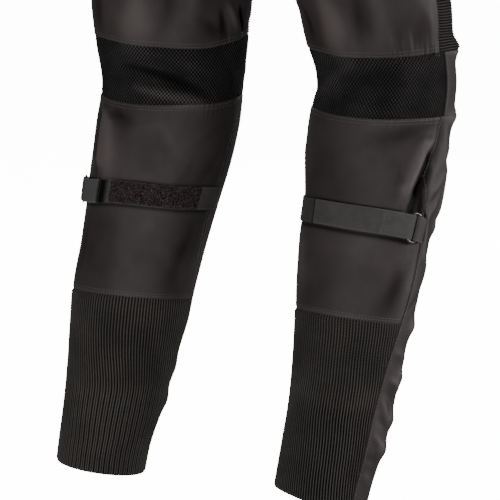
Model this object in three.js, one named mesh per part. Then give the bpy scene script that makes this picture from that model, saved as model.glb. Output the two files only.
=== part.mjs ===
import * as THREE from "three";

// Motorcycle trousers in their worn shape, with no wearer. Millimetres, +Z up.
// The front looks to -Y and the wearer's left is +X. The origin is the centre of the
// waist opening at the waistband's mid-height.

const wall = 1.8; // woven panels
const knitWall = 1.6;
const seamGap = 0.3; // between two sewn pieces, and under a piece that lies on another
const crotchZ = -268;
const bandTop = 20;
const bandBottom = -20;
const backRise = 25; // the waist stands this much higher at the back
const midGap = 0.15; // each half's distance from the mid-plane
const accordionTop = -400;
const accordionRibs = 32;
const accordionRelief = 1.1;
const cuffRibs = 62;
const cuffRelief = 1.1;
const strapWide = 24;
const strapThick = 1.6;
const strapLift = 0.55; // the strap's clearance over the calf panel
const loopThick = 1.2;
const wireRadius = 1.1;
const ringBars = 8.5; // between the centres of the ring's two long bars
const ringLong = 29;
const turnRadius = 2.4; // webbing round a bar, to its middle
const wPerMm = 1 / 218; // share of w in one millimetre round the calf

// A row for each section: centre x, y, half width, half depth to the front and back, and
// how far the section is turned outwards, in degrees.
const hipRows = [
  { z: 40, x: 0, y: 2, wide: 147, front: 113, back: 116, turn: 0 },
  { z: -20, x: 0, y: 2, wide: 153, front: 116, back: 122, turn: 0 },
  { z: -95, x: 0, y: 2, wide: 171, front: 121, back: 134, turn: 0 },
  { z: -165, x: 4, y: 1, wide: 179, front: 121, back: 139, turn: 0 },
  { z: -210, x: 28, y: -1, wide: 155, front: 115, back: 132, turn: 0 },
  { z: -240, x: 60, y: -4, wide: 122, front: 107, back: 119, turn: 0 },
  { z: -256, x: 79, y: -7, wide: 102, front: 102, back: 111, turn: 0 },
  { z: crotchZ, x: 90, y: -9, wide: 90 - midGap, front: 98, back: 104, turn: 0 },
];
const legRows = {
  left: [
    { z: -320, x: 97, y: -20, wide: 89, front: 90, back: 92, turn: 7 },
    { z: -385, x: 109, y: -35, wide: 88, front: 79, back: 77, turn: 16 },
    { z: -449, x: 120, y: -49, wide: 87, front: 71, back: 66, turn: 20 },
    { z: -492, x: 125, y: -58, wide: 83, front: 74, back: 63, turn: 20 },
    { z: -534, x: 128, y: -64, wide: 78, front: 77, back: 60, turn: 20 },
    { z: -576, x: 130, y: -57, wide: 79, front: 72, back: 66, turn: 18 },
    { z: -618, x: 131, y: -44, wide: 77, front: 65, back: 65, turn: 16 },
    { z: -660, x: 134, y: -31, wide: 73, front: 60, back: 63, turn: 15 },
    { z: -702, x: 137, y: -17, wide: 70, front: 56, back: 60, turn: 14 },
    { z: -744, x: 140, y: -3, wide: 68, front: 52, back: 56, turn: 14 },
    { z: -786, x: 140, y: 11, wide: 64, front: 49, back: 52, turn: 14 },
    { z: -829, x: 141, y: 26, wide: 58, front: 48, back: 50, turn: 13 },
    { z: -872, x: 142, y: 40, wide: 54, front: 48, back: 49, turn: 12 },
    { z: -915, x: 145, y: 55, wide: 49, front: 47, back: 48, turn: 10 },
    { z: -960, x: 144, y: 70, wide: 47, front: 46, back: 47, turn: 10 },
  ],
  right: [
    { z: -320, x: 97, y: -20, wide: 89, front: 88, back: 92, turn: 7 },
    { z: -385, x: 110, y: -35, wide: 88, front: 76, back: 77, turn: 16 },
    { z: -438, x: 121, y: -47, wide: 88, front: 68, back: 67, turn: 20 },
    { z: -479, x: 123, y: -56, wide: 84, front: 67, back: 65, turn: 20 },
    { z: -520, x: 127, y: -64, wide: 79, front: 69, back: 62, turn: 20 },
    { z: -561, x: 124, y: -61, wide: 79, front: 68, back: 67, turn: 18 },
    { z: -601, x: 125, y: -50, wide: 77, front: 65, back: 66, turn: 16 },
    { z: -641, x: 127, y: -37, wide: 74, front: 61, back: 63, turn: 15 },
    { z: -681, x: 125, y: -24, wide: 72, front: 57, back: 60, turn: 14 },
    { z: -720, x: 126, y: -11, wide: 70, front: 54, back: 57, turn: 14 },
    { z: -760, x: 127, y: 3, wide: 65, front: 50, back: 53, turn: 14 },
    { z: -800, x: 127, y: 16, wide: 60, front: 48, back: 50, turn: 13 },
    { z: -840, x: 127, y: 29, wide: 56, front: 48, back: 50, turn: 12 },
    { z: -880, x: 125, y: 43, wide: 54, front: 48, back: 49, turn: 11 },
    { z: -920, x: 121, y: 57, wide: 50, front: 48, back: 48, turn: 10 },
    { z: -960, x: 118, y: 70, wide: 48, front: 47, back: 47, turn: 10 },
  ],
};

// The largest folds: a ridge (or a trough, with a height below nothing) from one place to
// another, by w and z, that dies away over its width.
const folds = {
  left: [
    { w: 1.33, z: -562, w2: 1.32, z2: -612, width: 9, height: 4 },
    { w: 1.25, z: -570, w2: 1.24, z2: -608, width: 8, height: -2.5 },
    { w: 0.9, z: -485, w2: 0.38, z2: -483, width: 11, height: 5 },
    { w: 2.16, z: -470, w2: 2.05, z2: -477, width: 8, height: -2.5 },
    { w: 2.2, z: -838, w2: 2.02, z2: -822, width: 11, height: 2.5 },
    { w: 2.22, z: -872, w2: 2.05, z2: -860, width: 10, height: 2.5 },
    { w: 0.5, z: -740, w2: 0.25, z2: -765, width: 12, height: 3 },
  ],
  right: [
    { w: 0.93, z: -485, w2: 0.4, z2: -484, width: 10, height: 6 },
    { w: 0.98, z: -556, w2: 0.5, z2: -556, width: 8, height: 3.5 },
    { w: 1.125, z: -592, w2: 1.165, z2: -622, width: 8, height: -5 },
    { w: 1.17, z: -578, w2: 1.24, z2: -618, width: 8, height: 3 },
    { w: 0.86, z: -612, w2: 0.94, z2: -664, width: 9, height: 3.5 },
    { w: 0.8, z: -765, w2: 0.98, z2: -762, width: 9, height: 3.5 },
    { w: 0.8, z: -822, w2: 1.0, z2: -808, width: 8, height: 3 },
    { w: 0.8, z: -862, w2: 1.0, z2: -850, width: 8, height: 3 },
    { w: 0.82, z: -890, w2: 1.02, z2: -878, width: 8, height: 3 },
  ],
};

// Seams that run down the leg, as w at a height: w is 0 at the front inner edge, 1 at
// the outer side and 2 at the back inner edge.
const outerSeam = [
  { z: 40, w: 1 },
  { z: crotchZ, w: 1.02 },
  { z: -400, w: 1.085 },
  { z: -500, w: 1.095 },
];
const innerSeam = [
  { z: crotchZ, w: 2 },
  { z: -400, w: 2.13 },
  { z: -492, w: 2.17 },
  { z: -551, w: 2.17 },
];
const calfOuter = [
  { z: -543, w: 1.062 },
  { z: -575, w: 1.1 },
  { z: -614, w: 1.125 },
  { z: -646, w: 1.1 },
  { z: -680, w: 1.077 },
  { z: -722, w: 1.088 },
  { z: -762, w: 1.118 },
  { z: -801, w: 1.148 },
  { z: -860, w: 1.168 },
  { z: -923, w: 1.145 },
  { z: -970, w: 1.13 },
];
const calfInner = [
  { z: -543, w: 2.14 },
  { z: -575, w: 2.045 },
  { z: -600, w: 2.02 },
  { z: -634, w: 2.005 },
  { z: -676, w: 1.995 },
  { z: -722, w: 2.04 },
  { z: -762, w: 2.1 },
  { z: -801, w: 2.18 },
  { z: -850, w: 2.22 },
  { z: -970, w: 2.24 },
];
const kneeOuter = 1.055;
const calfRows = 11;
const cuffRows = 5;

// Level seams that lean: mean height, how much it rises, and at which w it is highest.
const cuffSeam = {
  left: { z: -757, rise: 7, at: 1.42 },
  right: { z: -756, rise: 9, at: 1.6 },
};
const hem = {
  left: { z: -936, rise: 7, at: 1.3 },
  right: { z: -939.5, rise: 17, at: 1.7 },
};

// The knit band's upper and lower seams, which go on round the front of the knee.
const kneeTop = {
  left: [
    { w: 0, z: -484.5 },
    { w: 0.1, z: -481 },
    { w: 0.17, z: -480.5 },
    { w: 0.35, z: -482 },
    { w: 0.6, z: -484 },
    { w: 0.9, z: -483.5 },
    { w: 1.06, z: -482.5 },
    { w: 1.31, z: -484 },
    { w: 1.5, z: -488.5 },
    { w: 1.7, z: -492.5 },
    { w: 1.82, z: -492 },
    { w: 1.95, z: -486.5 },
    { w: 2.1, z: -481 },
    { w: 2.17, z: -480.5 },
    { w: 2.35, z: -482 },
  ],
  right: [
    { w: 0, z: -487 },
    { w: 0.1, z: -486.3 },
    { w: 0.17, z: -486 },
    { w: 0.35, z: -487 },
    { w: 0.6, z: -488 },
    { w: 0.95, z: -487 },
    { w: 1.1, z: -487 },
    { w: 1.21, z: -489 },
    { w: 1.32, z: -491 },
    { w: 1.5, z: -492.5 },
    { w: 1.65, z: -490.5 },
    { w: 1.8, z: -489 },
    { w: 2.0, z: -487 },
    { w: 2.1, z: -486.3 },
    { w: 2.17, z: -486 },
    { w: 2.35, z: -487 },
  ],
};
const kneeBottom = {
  left: [
    { w: 0, z: -548 },
    { w: 0.1, z: -546 },
    { w: 0.17, z: -545.5 },
    { w: 0.35, z: -546.5 },
    { w: 0.6, z: -548 },
    { w: 0.9, z: -545.5 },
    { w: 1.055, z: -544 },
    { w: 1.16, z: -545 },
    { w: 1.38, z: -550 },
    { w: 1.52, z: -552 },
    { w: 1.72, z: -552 },
    { w: 1.89, z: -551 },
    { w: 2.0, z: -548 },
    { w: 2.1, z: -546 },
    { w: 2.17, z: -545.5 },
    { w: 2.35, z: -546.5 },
  ],
  right: [
    { w: 0, z: -547 },
    { w: 0.1, z: -546.8 },
    { w: 0.17, z: -547 },
    { w: 0.35, z: -549 },
    { w: 0.6, z: -551 },
    { w: 1.055, z: -552.5 },
    { w: 1.23, z: -552.5 },
    { w: 1.39, z: -553 },
    { w: 1.54, z: -552 },
    { w: 1.68, z: -550 },
    { w: 1.8, z: -548 },
    { w: 2.0, z: -547 },
    { w: 2.1, z: -546.8 },
    { w: 2.17, z: -547 },
    { w: 2.35, z: -549 },
  ],
};

// The calf strap's middle line.
const strapLine = {
  left: [
    { w: 1, z: -649 },
    { w: 1.3, z: -647 },
    { w: 1.45, z: -643.5 },
    { w: 1.6, z: -644.5 },
    { w: 1.78, z: -648.5 },
    { w: 1.94, z: -651.5 },
    { w: 2.1, z: -655 },
  ],
  right: [
    { w: 1, z: -667 },
    { w: 1.09, z: -664.5 },
    { w: 1.165, z: -660 },
    { w: 1.32, z: -653.5 },
    { w: 1.5, z: -649.5 },
    { w: 1.66, z: -648.5 },
    { w: 1.85, z: -651 },
    { w: 2.1, z: -654 },
  ],
};
const strapEnd = { left: 1.36, right: 1.66 };
const loopField = { left: [1.44, 1.87], right: [1.26, 1.62] };
const ringW = 1.16;

const mix = (a, b, t) => a + (b - a) * t;
const clamp = (t, low, high) => Math.min(high, Math.max(low, t));
const smooth = (t) => t * t * (3 - 2 * t);

// A smooth curve through rows, read at one column's value.
function along(rows, column, key, at) {
  const falling = rows[0][column] > rows[rows.length - 1][column];
  const before = (row) => (falling ? row[column] > at : row[column] < at);
  let k = 0;
  while (k < rows.length - 2 && before(rows[k + 1])) k += 1;
  const slope = (i) => {
    const a = rows[Math.max(0, i - 1)];
    const b = rows[Math.min(rows.length - 1, i + 1)];
    return (b[key] - a[key]) / (b[column] - a[column]);
  };
  const [p, q] = [rows[k], rows[k + 1]];
  const span = q[column] - p[column];
  const t = clamp((at - p[column]) / span, 0, 1);
  const h = smooth(t);
  return (
    mix(p[key], q[key], h) +
    span * slope(k) * t * (1 - t) ** 2 -
    span * slope(k + 1) * t ** 2 * (1 - t)
  );
}

const allRows = {
  left: [...hipRows, ...legRows.left],
  right: [...hipRows, ...legRows.right],
};

// The angle round a section for a w: 0 inner side, half a turn at the outer side.
function angleAt(w, row, z) {
  if (z <= crotchZ) return Math.PI * w;
  const start = Math.acos(clamp((row.x - midGap) / row.wide, -1, 1));
  return w <= 1 ? mix(start, Math.PI, w) : mix(Math.PI, 2 * Math.PI - start, w - 1);
}

function sectionPoint(side, w, z) {
  const rows = allRows[side];
  const row = {};
  for (const key of ["x", "y", "wide", "front", "back", "turn"])
    row[key] = along(rows, "z", key, z);
  row.x = Math.max(0, row.x);
  const turn = (row.turn * Math.PI) / 180;
  const angle = angleAt(w, row, z);
  const own = angle - turn;
  const out = -Math.cos(own) * row.wide;
  const fore = Math.sin(own) * (Math.sin(own) > 0 ? row.front : row.back);
  const outer = out * Math.cos(turn) + fore * Math.sin(turn);
  const front = fore * Math.cos(turn) - out * Math.sin(turn);
  const sign = side === "left" ? 1 : -1;
  const high = smooth(clamp((z - crotchZ) / -crotchZ, 0, 1));
  const rise = backRise * high * (((1 - Math.sin(angle)) / 2) ** 1.5 - 0.4);
  return {
    at: new THREE.Vector3(sign * (row.x + outer), row.y - front, z + rise),
    centre: new THREE.Vector3(sign * row.x, row.y, z + rise),
  };
}

function foldHeight(side, w, z) {
  let sum = 0;
  for (const f of folds[side]) {
    const near = (a) => a - 2 * Math.round(a / 2);
    const px = near(w - f.w) / wPerMm;
    const pz = z - f.z;
    const ex = (f.w2 - f.w) / wPerMm;
    const ez = f.z2 - f.z;
    const t = clamp((px * ex + pz * ez) / (ex * ex + ez * ez), 0, 1);
    const d = Math.hypot(px - t * ex, pz - t * ez);
    sum += f.height * Math.exp(-((d / f.width) ** 2));
  }
  return sum;
}

// A place on the garment: its point moved out by `out`. The side "both" runs over the
// mid-plane: w below 0 or above 2 goes on round the right half.
function place(side, w, z, out = 0) {
  if (side === "both") {
    if (w < 0) return place("right", -w, z, out);
    if (w > 2) return place("right", 4 - w, z, out);
    return place("left", w, z, out);
  }
  const { at, centre } = sectionPoint(side, w, z);
  const e = 0.004;
  const top = z > crotchZ;
  const wa = top ? Math.max(0, w - e) : w - e;
  const wb = top ? Math.min(2, w + e) : w + e;
  const across = sectionPoint(side, wb, z).at.sub(sectionPoint(side, wa, z).at);
  const down = sectionPoint(side, w, z - 1).at.sub(sectionPoint(side, w, z + 1).at);
  const normal = across.cross(down).normalize();
  if (normal.dot(at.clone().sub(centre)) < 0) normal.negate();
  return at.addScaledVector(normal, out + foldHeight(side, w, z));
}

// Closed body between an outer and an inner grid of points, which may differ in fineness.
function bodyBetween(outer, inner) {
  const points = [];
  const faces = [];
  const numbered = (grid) =>
    grid.map((line) => line.map((p) => points.push(p.x, p.y, p.z) / 3 - 1));
  const a = numbered(outer);
  const b = numbered(inner);
  const cover = (g, flip) => {
    for (let i = 0; i + 1 < g.length; i += 1)
      for (let j = 0; j + 1 < g[i].length; j += 1) {
        const quad = [g[i][j], g[i + 1][j], g[i + 1][j + 1], g[i][j + 1]];
        if (flip) quad.reverse();
        faces.push(quad[0], quad[1], quad[2], quad[0], quad[2], quad[3]);
      }
  };
  cover(a, false);
  cover(b, true);
  const zip = (p, q) => {
    let i = 0;
    let k = 0;
    while (i < p.length - 1 || k < q.length - 1) {
      const nextP = i < p.length - 1 ? (i + 1) / (p.length - 1) : 2;
      const nextQ = k < q.length - 1 ? (k + 1) / (q.length - 1) : 2;
      if (nextP <= nextQ) {
        faces.push(p[i + 1], p[i], q[k]);
        i += 1;
      } else {
        faces.push(q[k], q[k + 1], p[i]);
        k += 1;
      }
    }
  };
  const rim = (g) => {
    const last = g.length - 1;
    const end = g[0].length - 1;
    return [
      g.map((line) => line[0]),
      [...g[last]],
      g.map((line) => line[end]).reverse(),
      [...g[0]].reverse(),
    ];
  };
  rim(a).forEach((edge, n) => zip(edge, rim(b)[n]));
  return solid(points, faces);
}

// Geometry from points and faces, turned so that its faces look out.
function solid(points, faces) {
  let volume = 0;
  const v = [new THREE.Vector3(), new THREE.Vector3(), new THREE.Vector3()];
  for (let n = 0; n < faces.length; n += 3) {
    v.forEach((p, k) => p.fromArray(points, faces[n + k] * 3));
    volume += v[0].dot(v[1].clone().cross(v[2]));
  }
  if (volume < 0)
    for (let n = 0; n < faces.length; n += 3)
      [faces[n + 1], faces[n + 2]] = [faces[n + 2], faces[n + 1]];
  const geometry = new THREE.BufferGeometry();
  geometry.setAttribute("position", new THREE.Float32BufferAttribute(points, 3));
  geometry.setIndex(faces);
  geometry.computeVertexNormals();
  return geometry;
}

const group = new THREE.Group();
const colours = {
  woven: 0x3a3637,
  knit: 0x1a1919,
  rib_knit: 0x2a2827,
  stretch: 0x2e2c2c,
  webbing: 0x33332f,
  loop: 0x1c1a1a,
  metal: 0x55555a,
  moulded: 0x343434,
};

function addNode(name, slot, geometry) {
  const material = new THREE.MeshStandardMaterial({
    name: slot,
    color: colours[slot],
    roughness: slot === "metal" ? 0.35 : 0.9,
    metalness: slot === "metal" ? 1 : 0,
  });
  const mesh = new THREE.Mesh(geometry, material);
  mesh.name = name;
  group.add(mesh);
}

const even = (n) => Array.from({ length: n + 1 }, (_, i) => i / n);

// A panel: the region between two level seams (z by w) and two upright seams (w by z).
function panel(name, slot, side, region, shape) {
  const { cols, rows, thick = wall, lift = 0, relief = () => 0 } = shape;
  const inset = seamGap / 2;
  const spot = (u, t) => {
    let w = mix(region.from(-500), region.to(-500), u);
    let z = 0;
    for (let n = 0; n < 6; n += 1) {
      const [top, bottom] = [region.top(w) - inset, region.bottom(w) + inset];
      const share = region.share || 1;
      if (t <= share) z = mix(top, region.middle ? region.middle(w) : bottom, t / share);
      else z = mix(region.middle(w), bottom, (t - share) / (1 - share));
      const first = region.from(z) + inset * wPerMm;
      w = mix(first, region.to(z) - inset * wPerMm, u);
    }
    return [w, z];
  };
  const grid = (us, ts, out) =>
    us.map((u, i) =>
      ts.map((t, j) => place(side, ...spot(u, t), out(i, j, u, t))),
    );
  const outer = grid(cols, rows, (i, j, u, t) => lift + relief(i, j, u, t));
  const { insideCols = cols, insideRows = rows } = shape;
  const inner = grid(insideCols, insideRows, () => lift - thick);
  addNode(name, slot, bodyBetween(outer, inner));
}

const level = (z) => () => z;
const leaning = (seam) => (w) =>
  seam.z + seam.rise * Math.cos(Math.PI * (w - seam.at));
const upright = (table, shift = 0) => (z) => along(table, "z", "w", z) + shift;
const between = (z0, z1, levels) => [
  0,
  ...levels.map((z) => (z - z0) / (z1 - z0)),
  1,
];

// Webbing 24 mm wide along a path of w and height over the panel beneath it.
function webbing(name, slot, side, path, line, shape) {
  const { wide = strapWide, thick = strapThick, rowsWide = 1 } = shape;
  const onSide = path.map((p, i) => {
    const a = path[Math.max(0, i - 1)];
    const b = path[Math.min(path.length - 1, i + 1)];
    const run = (b.w - a.w) / wPerMm;
    const rise = b.h - a.h;
    const long = Math.hypot(run, rise);
    return { ...p, ew: (-rise / long) * wPerMm, eh: run / long };
  });
  const grid = (k) =>
    onSide.map((p) =>
      even(rowsWide).map((t) => {
        const w = p.w + k * p.ew;
        const z = along(line, "w", "z", w) + (t - 0.5) * wide;
        return place(side, w, z, p.h + k * p.eh);
      }),
    );
  addNode(name, slot, bodyBetween(grid(thick / 2), grid(-thick / 2)));
}

// Points of a path along the cloth at one height, then round a bar, then back.
function run(w0, w1, h0, h1, count) {
  return even(count).map((t) => ({ w: mix(w0, w1, t), h: mix(h0, h1, smooth(t)) }));
}
function turnRound(barW, barH, sign, count) {
  return even(count).map((t) => ({
    w: barW + sign * Math.sin(Math.PI * t) * turnRadius * wPerMm,
    h: barH - Math.cos(Math.PI * t) * turnRadius,
  }));
}

for (const side of ["left", "right"]) {
  const outerEdge = upright(outerSeam);
  const innerEdge = upright(innerSeam);
  const innerFront = upright(innerSeam, -2);
  const cuffTop = leaning(cuffSeam[side]);
  const hemLine = leaning(hem[side]);
  const kneeTopLine = (w) => along(kneeTop[side], "w", "z", w);
  const kneeBottomLine = (w) => along(kneeBottom[side], "w", "z", w);
  const frontEdge = (z) => (z > crotchZ ? 0 : innerFront(z));
  const hipLevels = [-75, -130, -180, -215, -238, -254];

  panel(
    "thigh_front_" + side,
    "woven",
    side,
    {
      from: frontEdge,
      to: outerEdge,
      top: level(bandBottom),
      bottom: level(accordionTop),
    },
    {
      cols: even(8),
      rows: between(bandBottom, accordionTop, [
        ...hipLevels,
        crotchZ,
        -290,
        -330,
        -365,
      ]),
    },
  );
  panel(
    "seat_" + side,
    "woven",
    side,
    { from: outerEdge, to: level(2), top: level(bandBottom), bottom: level(crotchZ) },
    { cols: even(18), rows: between(bandBottom, crotchZ, hipLevels) },
  );
  panel(
    "thigh_back_" + side,
    "woven",
    side,
    {
      from: outerEdge,
      to: innerEdge,
      top: level(crotchZ),
      middle: level(accordionTop),
      share: 0.5,
      bottom: kneeTopLine,
    },
    {
      cols: even(18),
      rows: [
        ...between(crotchZ, accordionTop, [-290, -330, -365]).map((t) => t / 2),
        ...[0.6, 0.7, 0.8, 0.9, 1],
      ],
    },
  );
  panel(
    "accordion_" + side,
    "stretch",
    side,
    {
      from: innerFront,
      to: outerEdge,
      top: level(accordionTop),
      bottom: kneeTopLine,
    },
    {
      cols: even(10),
      rows: even(2 * accordionRibs),
      insideRows: even(5),
      relief: (i, j) => (j % 2 ? accordionRelief : 0),
    },
  );
  panel(
    "knee_front_" + side,
    "woven",
    side,
    {
      from: innerFront,
      to: level(kneeOuter),
      top: kneeTopLine,
      bottom: kneeBottomLine,
    },
    { cols: even(10), rows: even(4) },
  );
  panel(
    "knit_back_" + side,
    "knit",
    side,
    {
      from: level(kneeOuter),
      to: innerEdge,
      top: kneeTopLine,
      bottom: kneeBottomLine,
    },
    { cols: even(20), rows: even(4), thick: knitWall },
  );
  panel(
    "calf_back_" + side,
    "woven",
    side,
    {
      from: upright(calfOuter),
      to: upright(calfInner),
      top: kneeBottomLine,
      bottom: cuffTop,
    },
    { cols: even(18), rows: even(calfRows) },
  );
  panel(
    "shin_front_" + side,
    "woven",
    side,
    {
      from: upright(calfInner, -2),
      to: upright(calfOuter),
      top: kneeBottomLine,
      middle: cuffTop,
      share: calfRows / (calfRows + cuffRows),
      bottom: hemLine,
    },
    { cols: even(10), rows: even(calfRows + cuffRows) },
  );
  panel(
    "cuff_" + side,
    "rib_knit",
    side,
    {
      from: upright(calfOuter),
      to: upright(calfInner),
      top: cuffTop,
      bottom: hemLine,
    },
    {
      cols: even(2 * cuffRibs),
      rows: even(cuffRows),
      insideCols: even(20),
      thick: knitWall - 0.2,
      relief: (i) => (i % 2 ? cuffRelief : 0),
    },
  );

  // The strap runs from the inner seam to the ring, round its bar and back over itself.
  const line = strapLine[side];
  const low = strapLift + strapThick / 2;
  const overLoop = side === "left" ? 0 : loopThick + seamGap;
  const high = low + strapThick + seamGap + overLoop + 0.2;
  const barH = low + turnRadius;
  const strapBar = ringW + (ringBars / 2) * wPerMm;
  const tabBar = ringW - (ringBars / 2) * wPerMm;
  const [loopFrom, loopTo] = loopField[side];
  const back = strapEnd[side];
  const returnCount = side === "left" ? 5 : 10;
  const strapPath = [
    ...run(2.045, strapBar + 0.01, low, low, 17),
    ...turnRound(strapBar, barH, -1, 6),
    ...run(strapBar + 0.01, strapBar + 0.06, barH + turnRadius, high, 3),
    ...run(strapBar + 0.09, back, high, high, returnCount),
  ];
  webbing("strap_" + side, "webbing", side, strapPath, line, {});
  const loopH = low + strapThick / 2 + seamGap + loopThick / 2;
  webbing(
    "loop_field_" + side,
    "loop",
    side,
    run(loopFrom, loopTo, loopH, loopH, side === "left" ? 9 : 8),
    line,
    { wide: strapWide - 1, thick: loopThick },
  );
  const tabFrom = 1.092;
  const tabHigh = low + strapThick + seamGap;
  webbing(
    "ring_tab_" + side,
    "webbing",
    side,
    [
      ...run(tabFrom, tabBar - 0.004, low, low, 2),
      ...turnRound(tabBar, barH, 1, 6),
      ...run(tabBar - 0.006, tabFrom, barH + turnRadius, tabHigh, 4),
    ],
    line,
    {},
  );

  // The wire ring lies flat over the two turns.
  const ringZ = along(line, "w", "z", ringW);
  const middle = place(side, ringW, ringZ, barH);
  const upDir = place(side, ringW, ringZ + 9, barH)
    .sub(place(side, ringW, ringZ - 9, barH))
    .normalize();
  const acrossDir = place(side, ringW + 0.02, ringZ, barH).sub(middle);
  acrossDir.addScaledVector(upDir, -acrossDir.dot(upDir)).normalize();
  const outDir = new THREE.Vector3().crossVectors(acrossDir, upDir);
  const corner = 2.5;
  const loop = [];
  for (const [sx, sy, from] of [
    [1, 1, 0],
    [-1, 1, 0.5],
    [-1, -1, 1],
    [1, -1, 1.5],
  ])
    for (let n = 0; n <= 3; n += 1) {
      const a = Math.PI * (from + n / 6);
      const px = sx * (ringBars / 2 - corner) + corner * Math.cos(a);
      const py = sy * (ringLong / 2 - corner) + corner * Math.sin(a);
      loop.push([px, py]);
    }
  const sides = 6;
  const points = [];
  const faces = [];
  loop.forEach(([px, py], i) => {
    const [ax, ay] = loop[(i + loop.length - 1) % loop.length];
    const [bx, by] = loop[(i + 1) % loop.length];
    const long = Math.hypot(bx - ax, by - ay);
    const [nx, ny] = [(by - ay) / long, (ax - bx) / long];
    for (let k = 0; k < sides; k += 1) {
      const b = (2 * Math.PI * k) / sides;
      const flat = wireRadius * Math.cos(b);
      const p = middle
        .clone()
        .addScaledVector(acrossDir, px + nx * flat)
        .addScaledVector(upDir, py + ny * flat)
        .addScaledVector(outDir, wireRadius * Math.sin(b));
      points.push(p.x, p.y, p.z);
      const next = ((i + 1) % loop.length) * sides;
      const [k0, k1] = [k, (k + 1) % sides];
      faces.push(i * sides + k0, i * sides + k1, next + k1);
      faces.push(i * sides + k0, next + k1, next + k0);
    }
  });
  addNode("ring_" + side, "metal", solid(points, faces));
}

// Smooth grip that covers the short end of the left strap.
const gripLow = strapLift + strapThick * 2 + 2 * seamGap + 0.5;
webbing(
  "strap_grip_left",
  "moulded",
  "left",
  run(1.245, 1.37, gripLow + 0.8, gripLow + 0.8, 5),
  strapLine.left,
  { wide: strapWide + 1, thick: 1.6 },
);

// The waist, plain: a band that goes once round, a flap over the opening and a tab.
panel(
  "waistband",
  "woven",
  "both",
  { from: level(0), to: level(4), top: level(bandTop), bottom: level(bandBottom) },
  { cols: even(32), rows: even(2), thick: 2.4 },
);
panel(
  "fly_flap",
  "woven",
  "both",
  {
    from: level(-0.03),
    to: (z) => mix(0.16, 0.02, smooth(clamp((-130 - z) / 65, 0, 1))),
    top: level(bandBottom),
    bottom: level(-196),
  },
  { cols: even(3), rows: even(8), thick: wall, lift: wall + seamGap },
);
panel(
  "waist_tab",
  "woven",
  "both",
  {
    from: level(-0.17),
    to: level(0.14),
    top: level(bandTop - 3),
    bottom: level(bandBottom + 3),
  },
  { cols: even(5), rows: even(2), thick: wall, lift: wall + seamGap },
);

export default group;
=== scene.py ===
# Motocross trousers in their worn shape. Each piece is a thin shell on the solid's form,
# with creases, ribs, sewing and pile on top. Millimetres until a mesh is made.
import math

import bpy
import numpy as np
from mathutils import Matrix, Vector


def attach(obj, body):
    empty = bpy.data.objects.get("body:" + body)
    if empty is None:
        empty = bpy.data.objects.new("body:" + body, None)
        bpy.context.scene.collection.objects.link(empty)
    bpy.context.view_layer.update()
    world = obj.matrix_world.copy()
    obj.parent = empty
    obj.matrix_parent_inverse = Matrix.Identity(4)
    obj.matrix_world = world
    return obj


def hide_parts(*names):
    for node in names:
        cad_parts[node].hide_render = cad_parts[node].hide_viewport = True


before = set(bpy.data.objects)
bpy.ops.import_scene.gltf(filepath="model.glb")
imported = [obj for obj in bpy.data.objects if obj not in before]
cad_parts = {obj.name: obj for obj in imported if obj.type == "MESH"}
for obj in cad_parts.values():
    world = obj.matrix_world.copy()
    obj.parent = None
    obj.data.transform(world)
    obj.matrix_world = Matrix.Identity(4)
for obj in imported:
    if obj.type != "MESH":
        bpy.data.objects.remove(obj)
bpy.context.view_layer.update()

print("frame loaded")

waistHalf = 20
crotchZ = -268
ribbedTop = -400
halfGap = 0.15
backRise = 25
clothThick = 1.3
sharpDegrees = 62
bandLift = 2.1
threadLift = 0.1
stitchPitch = 0.0034
strapWide = 24
strapThick = 1.6
strapLift = 0.55
ringW = 1.16
ringBars = 8.5
ringLong = 29
wireRadius = 1.1
tabStart = 1.092
turnRadius = 2.4
pileDensity = {"left": 1.75e6, "right": 0.35e6}
cuffRibs = 62
accordionRibs = 32
floorZ = -0.99
floorReach = 40
# Azimuth and elevation in degrees, and distance from the middle of the legs
photoView = (209, 9.7, 2.25)
legsMiddle = (0.0084, -0.022, -0.703)

# w runs round a leg: 0 inside, over the front to 1 outside, over the back to 2
wPerMm = 1 / 218

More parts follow.
